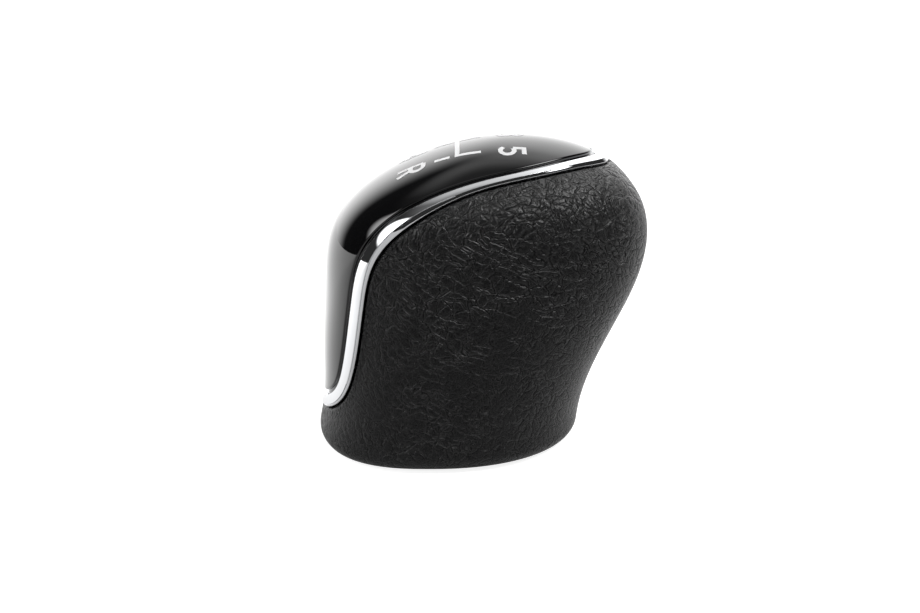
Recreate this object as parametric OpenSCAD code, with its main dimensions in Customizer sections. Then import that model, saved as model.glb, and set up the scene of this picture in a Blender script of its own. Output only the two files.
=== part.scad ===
// Gear shift knob for a manual gearbox: a leather-wrapped grip with a gloss cap
// that runs over the top and down the driver's face, edged by one chrome ring.
// Millimetres. +X is the car's front, +Y the driver's left, +Z up along the lever.
// The lever's axis is the Z axis; the underside of the base plate is z = 0.

/* [Grip outline] */
// Overall height above the base plane
body_h = 66; // [66:0.5:70]
// Distance from the lever axis to the crest of the dome, forwards
crest_x = 13.8; // [12:0.2:16]
// Reach of the front face at the base plane
front_at_0 = 28.2; // [27:0.2:30]
// Reach of the front face 8 mm above the base plane
front_at_8 = 29.2; // [28:0.2:31]
// Reach of the front face 20 mm up
front_at_20 = 33.4; // [32:0.2:35]
// Reach of the front face 34 mm up
front_at_34 = 40; // [38.5:0.2:41.5]
// Reach of the front face 46 mm up, where it bulges into the palm
front_at_46 = 42.4; // [41:0.2:44]
// Reach of the front face 53 mm up
front_at_53 = 40.6; // [39.5:0.2:42]
// Reach of the front face 58 mm up
front_at_58 = 37; // [36:0.2:38]
// Reach of the front face 61.5 mm up
front_at_61 = 32.8; // [32:0.2:33.6]
// Reach of the rear face at the base plane
rear_at_0 = 29.6; // [28.6:0.2:31]
// Reach of the rear face 8 mm up
rear_at_8 = 28; // [27:0.2:29]
// Reach of the rear face 20 mm up
rear_at_20 = 27.6; // [26.6:0.2:28.6]
// Reach of the rear face 34 mm up
rear_at_34 = 26.9; // [26:0.2:28]
// Reach of the rear face 46 mm up
rear_at_46 = 25.3; // [24.5:0.2:26.5]
// Reach of the rear face 56 mm up
rear_at_56 = 17.2; // [16:0.2:18.4]
// Reach of the rear face 62 mm up
rear_at_62 = 6; // [5:0.2:7]
// Half width at the base plane
half_at_0 = 26; // [25:0.2:27]
// Half width 12 mm up
half_at_12 = 26.4; // [25.4:0.2:27.4]
// Half width 30 mm up
half_at_30 = 26.6; // [25.6:0.2:27.6]
// Half width 44 mm up
half_at_44 = 26.4; // [25.4:0.2:27.4]
// Half width 54 mm up
half_at_54 = 24.8; // [24:0.2:25.8]
// Half width 60 mm up
half_at_60 = 18.5; // [17.5:0.2:19.5]
// Fullness of the level sections, 2 is an ellipse
fullness = 2.4; // [2.2:0.1:2.6]
// Egg shape of the level sections, blunt end forwards
egg = 0.13; // [0.08:0.01:0.18]
// Radius of the rolled lower edge of the leather
foot_r = 3.5; // [3:0.1:4]

/* [Layers] */
// Thickness of the leather
leather_t = 1.2; // [1:0.1:1.3]
// Thickness of the foam under the leather
foam_t = 2.7; // [2.2:0.1:3]
// Wall of the moulded core
core_t = 2.5; // [2:0.1:3]
// Thickness of the gloss cap
cap_t = 2.2; // [1.8:0.1:2.2]
// Thickness of the trim carrier below the cap
carrier_t = 1.7; // [1.4:0.1:1.7]
// Depth of the chrome ring below the skin of the grip
ring_depth = 2.2; // [1.8:0.1:2.2]
// Height of the chrome ring above the skin of the grip
ring_proud = 0.45; // [0.3:0.05:0.6]
// Width of the trim carrier's rim beyond the ring, which holds the leather's edge
tuck = 2; // [1.6:0.1:2.2]
// Width of the leather turned in under the core
hem_w = 7; // [5:0.5:7.5]
// Drop of the step between gloss cap and chrome ring
step_d = 0.7; // [0.5:0.1:0.9]
// Width of the step between gloss cap and chrome ring
step_w = 0.9; // [0.7:0.1:1.1]

/* [Lever mount] */
// Core diameter of the M12 x 1.25 thread in the insert
thread_d = 10.7; // [10.6:0.05:10.9]
// Lead-in chamfer at the mouth of the thread
lead_in = 0.4; // [0.2:0.1:0.5]
// Depth of the threaded bore
thread_depth = 26; // [20:1:27]
// Outer diameter of the threaded insert
insert_d = 16; // [15:0.5:16.5]
// Length of the threaded insert
insert_h = 31; // [30:0.5:32]
// Heights of the grooves that hold the insert in the moulded core
groove_z = [7, 15, 23];
// Width of those grooves
groove_h = 3; // [2:0.5:4]
// Depth of those grooves
groove_d = 0.8; // [0.5:0.1:1]
// Height of the drilled cone at the end of the bore
drill_tip = 3; // [2:0.5:3.5]
// Outer diameter of the core's middle tube
tube_d = 20; // [19.5:0.5:21]

/* [Base and screws] */
// Thickness of the base plate's flange below the leather
flange_t = 0.8; // [0.6:0.1:1]
// Thickness of the leather's hem with its glue line
hem_t = 1.1; // [1:0.1:1.2]
// Thickness of the core's foot
foot_t = 1.3; // [1.2:0.1:1.4]
// Distance of the base screws from the lever axis
screw_ring_r = 14.5; // [14.3:0.1:14.8]
// Shank diameter of the base screws
screw_d = 2.5; // [2.2:0.1:2.8]
// Head diameter of the base screws
screw_head_d = 5.2; // [4.8:0.1:5.4]
// Length of the base screws
screw_len = 13; // [10:1:16]
// Outer diameter of the screw bosses
boss_d = 6; // [5.5:0.1:6.4]
// Height of the core's deck above the base plane
deck_z = 34; // [33:0.5:35]
// Thickness of the core's deck
deck_t = 3; // [2.5:0.1:3]
// Thickness of the core's ribs
rib_t = 2; // [1.5:0.1:2.5]
// Forward place of the carrier's screws
carrier_screw_x = 14; // [13.6:0.1:14.4]
// Sideways place of the carrier's screws
carrier_screw_y = 7; // [6.8:0.1:7.2]
// Length of the carrier's screws
carrier_screw_len = 16; // [14:1:20]
// Diameter of the pegs below the ring
peg_d = 2; // [1.6:0.1:2.2]
// Diameter of the pegs below the cap
cap_peg_d = 4; // [3:0.5:4.5]
// Reach of the cap's pegs below the trim carrier
peg_reach = 6; // [3:1:8]

/* [Fit] */
// Clearance between parts that are seated on one another
gap = 0.1; // [0.08:0.01:0.12]
// Clearance below the cap and the ring, filled by double-sided tape
seat = 0.3; // [0.25:0.05:0.35]

/* [Hidden] */
$fn = 48;
// Half the number of stations along the trim line, and its number of knots
half = 40;
laps = 12;
// Heights that follow from the stack of base plate, hem and foot
hem_z = flange_t + gap;
foot_z = hem_z + hem_t + gap;
foam_z = foot_z + foot_t + gap;
// Depths below the skin
foam_in = leather_t + gap + foam_t;
core_out = foam_in + gap;
core_in = core_out + core_t;
carrier_out = cap_t + seat;
carrier_in = carrier_out + carrier_t;
shelf = carrier_in + 0.25;
mid_wall = (core_out + core_in) / 2;
// Trim line: angle round the lever axis and height, from the front to the rear crossing
trim_angle = [0, 36.5, 62.3, 84, 102.3, 116, 125.4, 131, 133, 134.8, 143, 160.8, 180];
trim_z = [61.7, 61.9, 61.3, 60.1, 58.1, 54.5, 48.9, 40.8, 31.5, 22.2, 14.4, 9.9, 8.2];
// Width of the chrome ring along the trim line
trim_w = [2.9, 2.4, 2, 1.9, 2.2, 2.9, 3.1, 3.3, 3.5, 3.5, 3, 2.5, 2.4];
// Angle round the base below each knot of the trim line
base_angle = [0, 18, 35, 50, 63, 76, 88, 100, 112, 125, 141, 160, 180];
// Places on the middle line of the dome opposite the inner knots
dome_line = [0.187, 0.095, -0.01, -0.135, -0.25, -0.365, -0.49, -0.628, -0.744, -0.835, -0.896];
// Steps of the rows between base and trim line
skin_rows = [0, 0.1, 0.2, 0.31, 0.42, 0.53, 0.63, 0.72, 0.8, 0.87, 0.94, 1];
inner_rows = [0, 0.16, 0.32, 0.48, 0.63, 0.76, 0.88, 1];
deep_rows = [0, 0.28, 0.54, 0.78, 1];

// Cubic spline through knots: free ends, or flat ends when flat is 1
function sweep(t, y, flat, i, c, d) =
    let (n = len(t) - 1)
    i > n ? [] :
    let (
        h0 = i > 0 ? t[i] - t[i - 1] : 0,
        h1 = i < n ? t[i + 1] - t[i] : 0,
        g0 = i > 0 ? (y[i] - y[i - 1]) / h0 : 0,
        g1 = i < n ? (y[i + 1] - y[i]) / h1 : 0,
        rim = i == 0 || i == n,
        lo = rim && flat == 0 ? 0 : h0,
        mid = rim && flat == 0 ? 1 : 2 * (h0 + h1),
        hi = rim && flat == 0 ? 0 : h1,
        r = rim && flat == 0 ? 0 : 6 * (g1 - g0),
        q = mid - lo * c,
        c2 = hi / q,
        d2 = (r - lo * d) / q
    )
    concat([[c2, d2]], sweep(t, y, flat, i + 1, c2, d2));
function unwind(cd, i, m) =
    i < 0 ? [] :
    let (v = cd[i][1] - cd[i][0] * m)
    concat(unwind(cd, i - 1, v), [v]);
function spline(t, y, flat = 0) = [t, y, unwind(sweep(t, y, flat, 0, 0, 0), len(t) - 1, 0)];
function along(s, x) =
    let (
        t = s[0],
        i = min(len(t) - 2, max(0, len([for (k = t) if (k <= x) 1]) - 1)),
        h = t[i + 1] - t[i],
        a = (t[i + 1] - x) / h,
        b = (x - t[i]) / h
    )
    a * s[1][i] + b * s[1][i + 1] + ((a * a * a - a) * s[2][i] + (b * b * b - b) * s[2][i + 1]) * h * h / 6;

// Place on the middle line, negative on the rear side, zero at the crest
function drop(z) = sqrt(max(0.000001, 1 - z / body_h));
rear_knots = [[0, rear_at_0], [8, rear_at_8], [20, rear_at_20], [34, rear_at_34], [46, rear_at_46],
    [56, rear_at_56], [62, rear_at_62]];
front_knots = [[61.5, front_at_61], [58, front_at_58], [53, front_at_53], [46, front_at_46],
    [34, front_at_34], [20, front_at_20], [8, front_at_8], [0, front_at_0]];
half_knots = [[60, half_at_60], [54, half_at_54], [44, half_at_44], [30, half_at_30], [12, half_at_12],
    [0, half_at_0]];
middle_line = spline(
    concat([for (k = rear_knots) -drop(k[0])], [0], [for (k = front_knots) drop(k[0])]),
    concat([for (k = rear_knots) -k[1]], [crest_x], [for (k = front_knots) k[1]]));
side_line = spline(
    concat([for (i = [5:-1:0]) -drop(half_knots[i][0])], [0], [for (k = half_knots) drop(k[0])]),
    concat([for (i = [5:-1:0]) -half_knots[i][1]], [0], [for (k = half_knots) k[1]]));

// Level section at height z: middle, half length, half width
function section(z) =
    let (u = drop(z), f = along(middle_line, u), r = along(middle_line, -u))
    [(f + r) / 2, (f - r) / 2, along(side_line, u)];
function lobe(a) =
    let (c = cos(a), s = sin(a))
    [c - egg * s * s, sign(s) * sqrt(max(0, 1 - pow(abs(c), fullness)))];
// Point of the section at angle a and height z, drawn in level by d
function plan(a, z, d) =
    let (q = section(z), m = lobe(a))
    [q[0] + (q[1] - d) * m[0], (q[2] - d) * m[1], z];
function skin(a, z) = plan(a, z, 0);
// Square of the half width of the body at a place of the side view
function girth(x, z) =
    let (
        q = section(z),
        e = (x - q[0]) / q[1],
        c = (sqrt(max(0, 1 + 4 * egg * (egg + e))) - 1) / (2 * egg)
    )
    q[2] * q[2] * (1 - pow(abs(c), fullness));
function outward(p) =
    let (
        e = 0.01,
        z = min(p[2], body_h - 0.02),
        gx = (girth(p[0] + e, z) - girth(p[0] - e, z)) / (2 * e),
        gz = (girth(p[0], z + e) - girth(p[0], z - e)) / (2 * e),
        v = [-gx, 2 * p[1], -gz]
    )
    v / norm(v);
function sink(p, d) = p - d * outward(p);
// Level draw-in of the rolled lower edge
function roll(z) = foot_r * (1 - sqrt(1 - pow(max(0, 1 - z / foot_r), 2)));

// The trim line and its frame: point, outward normal, side direction towards the leather
trim_a = spline([for (k = [0:laps]) k], trim_angle);
trim_h = spline([for (k = [0:laps]) k], trim_z, 1);
trim_b = spline([for (k = [0:laps]) k], trim_w, 1);
base_a = spline([for (k = [0:laps]) k], base_angle);
function hw(s) = along(trim_b, s) / 2;
function trim_point(s) = skin(along(trim_a, s), along(trim_h, s));
function trim_frame(s) =
    let (
        e = 0.01,
        p = trim_point(s),
        t = trim_point(s + e) - trim_point(s - e),
        n = outward(p),
        b = cross(t, n)
    )
    [p, n, b / norm(b)];
// Angle and height of the skin point b beside the trim line
function beside(s, b) =
    let (
        a = along(trim_a, s),
        z = along(trim_h, s),
        sa = (skin(a + 0.5, z) - skin(a - 0.5, z)),
        sz = (skin(a, z + 0.05) - skin(a, z - 0.05)) * 10,
        v = trim_frame(s)[2],
        m = sa * sa,
        k = sa * sz,
        l = sz * sz,
        det = m * l - k * k
    )
    [a + b * (v * sa * l - v * sz * k) / det, z + b * (v * sz * m - v * sa * k) / det];
function at_trim(s, b, d) =
    let (q = beside(s, b))
    sink(skin(q[0], q[1]), d);
// Rows from the base to the point b beside the trim line, at depth d below the skin,
// measured in level at the base and square to the skin at the trim line
function rows(s, z0, b, d, steps) =
    let (a0 = along(base_a, s), q = beside(s, b))
    [for (t = steps)
        let (a = a0 + (q[0] - a0) * t, z = z0 + (q[1] - z0) * t)
        (1 - t) * plan(a, z, d) + t * sink(skin(a, z), d)];
function foot(s, z, d) = plan(along(base_a, s), z, d);

// Closed band from half its columns, each a closed loop of points. From point turn on a
// loop runs down its inner side, where the cells are split the other way, so that the
// facing skins of two neighbouring layers are split alike
function flat_y(p, i) = i == 0 || i == half ? [p[0], 0, p[2]] : p;
module band(cols, turn) {
    m = len(cols[0]);
    n = 2 * half;
    pts = [for (i = [0:n - 1]) for (p = cols[i <= half ? i : n - i])
        i <= half ? flat_y(p, i) : [p[0], -p[1], p[2]]];
    polyhedron(pts, [for (i = [0:n - 1]) for (j = [0:m - 1])
        let (
            k = (j + 1) % m,
            i1 = (i + 1) % n,
            a = i * m + j,
            b = i * m + k,
            c = i1 * m + k,
            d = i1 * m + j
        )
        each (j < turn ? [[a, b, c], [a, c, d]] : [[a, b, d], [b, c, d]])]);
}

// Plate over the dome: upper and lower rows of 2 * m + 1 points, closed at both crossings
module dome_plate(upper, lower, keep) {
    k = len(upper[0]);
    m = (k - 1) / 2;
    pts = concat([for (r = upper) for (p = r) p], [for (r = lower) for (p = r) p]);
    function id(w, i, j) = (w * (half + 1) + i) * k + (i == 0 || i == half ? min(j, 2 * m - j, keep) : j);
    function tri(a, b, c) = a == b || b == c || a == c ? [] : [[a, b, c]];
    function quad(a, b, c, d) = concat(tri(a, b, c), tri(a, c, d));
    polyhedron(pts, concat(
        [for (i = [0:half - 1]) for (j = [0:k - 2])
            each quad(id(0, i, j), id(0, i, j + 1), id(0, i + 1, j + 1), id(0, i + 1, j))],
        [for (i = [0:half - 1]) for (j = [0:k - 2])
            each quad(id(1, i, j), id(1, i + 1, j), id(1, i + 1, j + 1), id(1, i, j + 1))],
        [for (i = [0:half - 1])
            each quad(id(0, i, 0), id(0, i + 1, 0), id(1, i + 1, 0), id(1, i, 0))],
        [for (i = [0:half - 1])
            each quad(id(0, i, k - 1), id(1, i, k - 1), id(1, i + 1, k - 1), id(0, i + 1, k - 1))]));
}
// Line across the dome at station s from the point b beside the trim line, at depth d
function dome_spline(b) =
    spline([for (k = [0:laps]) k],
        concat([drop(beside(0, b)[1])], dome_line, [-drop(beside(laps, b)[1])]));
function across(s, b, crown, d, steps) =
    let (
        v = along(crown, s),
        top = [along(middle_line, v), body_h * (1 - v * v)],
        q = beside(s, b),
        e = skin(q[0], q[1]),
        side = [e[0], e[2]]
    )
    [for (w = steps)
        let (
            r = top + (side - top) * w * w,
            y = abs(w) == 1 ? abs(e[1]) : sqrt(max(0, girth(r[0], r[1]))),
            p = sink([r[0], y, r[1]], d)
        )
        [p[0], w == 0 ? 0 : sign(w) * p[1], p[2]]];
function other_side(l) = [for (i = [len(l) - 1:-1:0]) [l[i][0], -l[i][1], l[i][2]]];
dome_steps = [1, 0.86, 0.7, 0.52, 0.32, 0, -0.32, -0.52, -0.7, -0.86, -1];

// Places of the pegs: stations of the ring's pegs, and x, y of the cap's pegs
ring_pegs = [1.5, 4.5, 8];
cap_pegs = [[22, 4], [22, -4], [2, 7], [2, -7]];
carrier_boss_top = dome_z([carrier_screw_x, carrier_screw_y + boss_d / 2]) - (carrier_out + carrier_in) / 2;
function dome_z(p) = body_h * (1 - pow(dome_u(p, 0, 0.7, 18), 2));
function dome_u(p, lo, hi, n) =
    let (m = (lo + hi) / 2, z = body_h * (1 - m * m))
    n == 0 ? m : girth(p[0], z) > p[1] * p[1] ? dome_u(p, lo, m, n - 1) : dome_u(p, m, hi, n - 1);
// A peg of the cap from below the carrier up to height h above the dome
module cap_peg(p, d, h) translate([p[0], p[1], dome_z(p) - carrier_in - peg_reach])
    cylinder(d = d, h = carrier_in + peg_reach + h);
module on_trim(s, side) {
    f = trim_frame(s);
    n = f[1];
    mirror([0, side < 0 ? 1 : 0, 0]) translate(f[0]) rotate([0, acos(n[2]), atan2(n[1], n[0])]) children();
}
cap_edge = gap + step_w + 0.3;
cap_crown = dome_spline(-hw(0) - cap_edge);
module gloss_cap() color("#0b0b0c") {
    s_of = [for (i = [0:half]) laps * i / half];
    upper = [for (s = s_of)
        let (rim = [at_trim(s, -hw(s) - gap, step_d), at_trim(s, -hw(s) - gap - step_w, step_d - 0.1),
            at_trim(s, -hw(s) - gap - step_w - 0.1, 0.15)])
        concat(rim, across(s, -hw(s) - cap_edge, cap_crown, 0, dome_steps), other_side(rim))];
    lower = [for (s = s_of)
        let (rim = [at_trim(s, -hw(s) - gap, cap_t), at_trim(s, -hw(s) - gap - step_w, cap_t),
            at_trim(s, -hw(s) - gap - step_w - 0.1, cap_t)])
        concat(rim, across(s, -hw(s) - cap_edge, cap_crown, cap_t, dome_steps), other_side(rim))];
    dome_plate(upper, lower, 3);
    for (p = cap_pegs) cap_peg(p, cap_peg_d, -cap_t / 2);
}

module chrome_ring() color("#d8dadc") {
    band([for (i = [0:half])
        let (s = laps * i / half, h = hw(s))
        [for (q = [[-h, ring_depth], [h, ring_depth], [h, 0.4], [h - 0.1, 0], [h - 0.8, -ring_proud],
            [0.25 - h, 0.1 - ring_proud], [-h, 0.5]])
            at_trim(s, q[0], q[1])]], 3);
    for (s = ring_pegs, side = [1, -1]) on_trim(s, side)
        translate([0, 0, -carrier_in]) cylinder(d = peg_d, h = carrier_t + seat + 1);
}

carrier_crown = dome_spline(hw(0) + tuck);
module carrier_screw_places(z)
    for (y = [-carrier_screw_y, carrier_screw_y]) translate([carrier_screw_x, y, z]) children();
module trim_carrier() color("#2b2c2e") {
    s_of = [for (i = [0:half]) laps * i / half];
    upper = [for (s = s_of) across(s, hw(s) + tuck, carrier_crown, carrier_out, dome_steps)];
    lower = [for (s = s_of) across(s, hw(s) + tuck, carrier_crown, carrier_in, dome_steps)];
    difference() {
        union() {
            dome_plate(upper, lower, 0);
            carrier_screw_places(deck_z + deck_t + gap)
                cylinder(d = boss_d, h = carrier_boss_top - deck_z - deck_t - gap);
        }
        for (s = ring_pegs, side = [1, -1]) on_trim(s, side)
            translate([0, 0, -carrier_in - 1]) cylinder(d = peg_d + 2 * gap, h = carrier_t + 2);
        for (p = cap_pegs) cap_peg(p, cap_peg_d + 2 * gap, 1);
        carrier_screw_places(deck_z) cylinder(d = screw_d + 2 * gap, h = carrier_screw_len + 1);
    }
}

module leather_cover() color("#1b1b1c") {
    band([for (i = [0:half])
        let (
            s = laps * i / half,
            h = hw(s),
            inside = rows(s, foam_z, h + tuck + 0.25, leather_t, inner_rows)
        )
        concat(
            [foot(s, hem_z, hem_w + roll(hem_z)), foot(s, hem_z, roll(hem_z)), foot(s, 1.7, roll(1.7))],
            [foot(s, 2.6, roll(2.6))],
            rows(s, foot_r, h + 1.3, 0, skin_rows),
            [at_trim(s, h + 0.6, 0.12), at_trim(s, h + 0.2, 0.6)],
            [for (b = [h + 0.2, h + tuck + 0.1]) at_trim(s, b, carrier_out - 2 * gap)],
            [for (k = [len(inner_rows) - 1:-1:0]) inside[k]],
            [foot(s, hem_z + hem_t, foot_r / 2), foot(s, hem_z + hem_t, hem_w + roll(hem_z))])],
        len(skin_rows) + 7);
}

module foam_pad() color("#8d8a72") {
    band([for (i = [0:half])
        let (
            s = laps * i / half,
            b = hw(s) + tuck + 0.25,
            skin_side = rows(s, foam_z, b, leather_t + gap, inner_rows),
            core_side = rows(s, foam_z, b, foam_in, deep_rows),
            n = len(inner_rows) - 2,
            m = len(deep_rows) - 2
        )
        concat(
            [foot(s, foam_z, foam_in), foot(s, foam_z, leather_t + gap)],
            [for (k = [1:n]) skin_side[k]],
            [at_trim(s, b + 0.15, leather_t + gap), at_trim(s, b + 0.15, foam_in)],
            [for (k = [m:-1:1]) core_side[k]])],
        len(inner_rows) + 1);
}

module core_wall() {
    band([for (i = [0:half])
        let (s = laps * i / half, b = hw(s) + tuck + 0.25, t = -0.5)
        concat(
            [foot(s, foam_z, core_in), foot(s, foot_z, core_in)],
            [foot(s, foot_z, core_out), foot(s, foam_z, core_out)],
            [for (k = [1:len(deep_rows) - 1]) rows(s, foam_z, b, core_out, deep_rows)[k]],
            [at_trim(s, b - 0.2, shelf), at_trim(s, t, shelf), at_trim(s, t, core_in)],
            [for (k = [len(deep_rows) - 1:-1:1]) rows(s, foam_z, b, core_in, deep_rows)[k]])],
        len(deep_rows) + 5);
}
// Level outline of the body at height z, drawn in by d
module level(z, d) polygon([for (a = [0:5:355]) let (p = plan(a, z, d)) [p[0], p[1]]]);
module base_screw_places() for (a = [0, 120, 240]) rotate(a) translate([screw_ring_r, 0, 0]) children();
function wall_x(z, side) = along(middle_line, side * drop(z)) - side * mid_wall;
rib_levels = [foot_z, 8, 14, 20, 27, deck_z + 0.5];

module core() color("#3a3a3c") {
    difference() {
        union() {
            core_wall();
            translate([0, 0, foot_z]) linear_extrude(foot_t) difference() {
                level(foot_z, leather_t + 0.7);
                level(foot_z, core_in + 2);
            }
            translate([0, 0, deck_z]) linear_extrude(deck_t) level(deck_z + deck_t / 2, mid_wall);
            cylinder(d = tube_d, h = deck_z + 0.5);
            rotate([90, 0, 0]) linear_extrude(rib_t, center = true) polygon(concat(
                [for (z = rib_levels) [wall_x(z, 1), z]],
                [for (i = [len(rib_levels) - 1:-1:0]) [wall_x(rib_levels[i], -1), rib_levels[i]]]));
            translate([-rib_t / 2, mid_wall - half_at_0, foot_z])
                cube([rib_t, 2 * (half_at_0 - mid_wall), deck_z - foot_z + 0.5]);
            base_screw_places() translate([0, 0, foot_z]) cylinder(d = boss_d, h = deck_z - foot_z + 0.5);
        }
        translate([0, 0, -1]) cylinder(d = insert_d + 2 * gap, h = insert_h + 1 + gap);
        base_screw_places() translate([0, 0, foot_z - 1])
            cylinder(d = screw_d + 2 * gap, h = screw_len + 1);
        carrier_screw_places(deck_z - 1) cylinder(d = screw_d + 2 * gap, h = deck_t + 2);
    }
    for (z = groove_z) translate([0, 0, z + gap]) difference() {
        cylinder(d = insert_d + 1, h = groove_h - 2 * gap);
        translate([0, 0, -1]) cylinder(d = insert_d - 2 * groove_d + 2 * gap, h = groove_h + 2);
    }
}

module threaded_insert() color("#8f9194") {
    difference() {
        cylinder(d = insert_d, h = insert_h);
        for (z = groove_z) translate([0, 0, z]) difference() {
            cylinder(d = insert_d + 1, h = groove_h);
            translate([0, 0, -1]) cylinder(d = insert_d - 2 * groove_d, h = groove_h + 2);
        }
        translate([0, 0, -1]) cylinder(d = thread_d, h = thread_depth + 1);
        translate([0, 0, thread_depth - 0.01]) cylinder(d1 = thread_d, d2 = 1, h = drill_tip);
        translate([0, 0, -1]) cylinder(d1 = thread_d + 2 * (lead_in + 1), d2 = thread_d, h = lead_in + 1);
    }
}

module base_plate() color("#151516") {
    difference() {
        union() {
            linear_extrude(flange_t) level(0, foot_r - 0.2);
            linear_extrude(foot_z - gap) level(hem_z + hem_t, hem_w + roll(hem_z) + 0.3);
        }
        translate([0, 0, -1]) cylinder(d = tube_d + 2 * gap, h = 5);
        base_screw_places() {
            translate([0, 0, -1]) cylinder(d = screw_d + 2 * gap, h = 5);
            translate([0, 0, -0.01]) cylinder(d1 = screw_head_d + 5 * gap, d2 = screw_d + 2 * gap, h = 1.7);
        }
    }
}

module base_screws() color("#7d7f82") base_screw_places() difference() {
    union() {
        translate([0, 0, 0.1]) cylinder(d1 = screw_head_d, d2 = screw_d, h = 1.4);
        translate([0, 0, 0.1]) cylinder(d = screw_d, h = screw_len);
    }
    translate([0, 0, -0.1]) cylinder(d = 1.4, h = 1, $fn = 6);
}

module carrier_screws() color("#7d7f82") carrier_screw_places(deck_z - gap) difference() {
    union() {
        translate([0, 0, -1.8]) cylinder(d = screw_head_d, h = 1.8);
        cylinder(d = screw_d, h = carrier_screw_len);
    }
    translate([0, 0, -2]) cylinder(d = 1.4, h = 1.2, $fn = 6);
}

gloss_cap();
chrome_ring();
trim_carrier();
carrier_screws();
core();
foam_pad();
leather_cover();
threaded_insert();
base_plate();
base_screws();
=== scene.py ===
"""Gear shift knob: leather-wrapped grip, gloss black cap with the printed shift pattern, chrome trim ring.

Metres in the scene, millimetres in the tables. +X is the car's front, +Y the driver's left, +Z up along
the lever, and the underside of the base plate is z = 0.
"""

import bpy
import numpy as np
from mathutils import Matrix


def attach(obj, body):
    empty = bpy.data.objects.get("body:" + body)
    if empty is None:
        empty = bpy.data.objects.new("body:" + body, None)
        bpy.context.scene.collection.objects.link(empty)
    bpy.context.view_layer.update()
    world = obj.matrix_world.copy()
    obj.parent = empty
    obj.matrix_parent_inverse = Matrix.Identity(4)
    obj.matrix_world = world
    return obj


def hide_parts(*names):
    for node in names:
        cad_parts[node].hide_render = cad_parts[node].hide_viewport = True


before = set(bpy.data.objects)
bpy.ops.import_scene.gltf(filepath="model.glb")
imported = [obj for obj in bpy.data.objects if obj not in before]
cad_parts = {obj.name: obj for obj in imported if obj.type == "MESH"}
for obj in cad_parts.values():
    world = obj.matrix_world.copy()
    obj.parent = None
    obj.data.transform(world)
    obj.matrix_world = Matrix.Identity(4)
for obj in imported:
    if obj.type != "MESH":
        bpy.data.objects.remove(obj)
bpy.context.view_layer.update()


# Threaded insert: a turned and zinc-plated steel bush, moulded into the core. Three grooves outside hold
# it in the plastic, and the lever's M12 x 1.25 thread is tapped inside.
def add(tree, kind, inputs=None, **settings):
    """Adds a node, sets its settings, and feeds each named input from a value or from another socket."""
    made = tree.nodes.new(kind)
    for key, value in settings.items():
        setattr(made, key, value)
    for key, value in (inputs or {}).items():
        if isinstance(value, bpy.types.NodeSocket):
            tree.links.new(value, made.inputs[key])
        else:
            made.inputs[key].default_value = value
    return made


def linear(hex_colour):
    """sRGB hex to linear RGBA: the dark end is divided by 12.92, the rest is a power of 2.4."""
    c = np.array([int(hex_colour[i:i + 2], 16) for i in (1, 3, 5)]) / 255
    c = np.where(c <= 0.04045, c / 12.92, ((c + 0.055) / 1.055) ** 2.4)
    return (*c.tolist(), 1.0)


MM = 0.001


def sheet_mesh(name, points, close_u=False, close_v=False, smooth=True):
    """A grid of points (u, v, 3) in millimetres made an object of quads, joined up in u or v on request.
    The quads face outward where u cross v points out."""
    nu, nv = points.shape[:2]
    i, j = np.meshgrid(np.arange(nu - (not close_u)), np.arange(nv - (not close_v)), indexing="ij")
    i2, j2 = (i + 1) % nu, (j + 1) % nv
    quads = np.stack([i * nv + j, i2 * nv + j, i2 * nv + j2, i * nv + j2], -1).reshape(-1, 4)
    return face_mesh(name, points.reshape(-1, 3), quads, smooth)


def face_mesh(name, points, quads, smooth=True):
    """Points in millimetres and four-cornered faces made an object that rides on the knob."""
    mesh = bpy.data.meshes.new(name)
    mesh.vertices.add(len(points))
    mesh.vertices.foreach_set("co", (np.asarray(points, float) * MM).ravel())
    mesh.loops.add(quads.size)
    mesh.loops.foreach_set("vertex_index", quads.ravel().astype(np.int32))
    mesh.polygons.add(len(quads))
    mesh.polygons.foreach_set("loop_start", np.arange(len(quads), dtype=np.int32) * 4)
    mesh.polygons.foreach_set("use_smooth", np.full(len(quads), smooth))
    mesh.update(calc_edges=True)
    mesh.validate()
    piece = bpy.data.objects.new(name, mesh)
    bpy.context.scene.collection.objects.link(piece)
    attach(piece, "root")
    return piece


def finish_named(name, base, rough, metal=0.0):
    """A material with one Principled shader of that colour, roughness and metalness. Returns material,
    node tree, shader and the object's own coordinates in millimetres."""
    made = bpy.data.materials.new(name)
    made.use_nodes = True
    t = made.node_tree
    shader = t.nodes["Principled BSDF"]
    shader.inputs["Base Color"].default_value = linear(base)
    shader.inputs["Roughness"].default_value = rough
    shader.inputs["Metallic"].default_value = metal
    place = add(t, "ShaderNodeMapping", {"Vector": add(t, "ShaderNodeTexCoord").outputs["Object"],
                                         "Scale": (1000, 1000, 1000)}).outputs["Vector"]
    return made, t, shader, place


THREAD_D, THREAD_MAJOR_D, THREAD_PITCH, THREAD_LENGTH = 10.7, 12.0, 1.25, 26.0
INSERT_D, INSERT_H, GROOVE_Z, GROOVE_H, GROOVE_D = 16.0, 31.0, (7, 15, 23), 3.0, 0.8
around = np.linspace(0, 2 * np.pi, 97)[:-1]
outside = [(0, INSERT_H), (INSERT_D / 2 - 0.3, INSERT_H), (INSERT_D / 2, INSERT_H - 0.3)]
for z in reversed(GROOVE_Z):
    outside += [(INSERT_D / 2, z + GROOVE_H), (INSERT_D / 2 - GROOVE_D, z + GROOVE_H),
                (INSERT_D / 2 - GROOVE_D, z), (INSERT_D / 2, z)]
outside += [(INSERT_D / 2, 0.2), (INSERT_D / 2 - 0.2, 0), (THREAD_MAJOR_D / 2 + 0.1, 0)]
outside = np.array(outside, float)
turn_z = np.arange(0.05, THREAD_LENGTH, THREAD_PITCH / 10)
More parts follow.
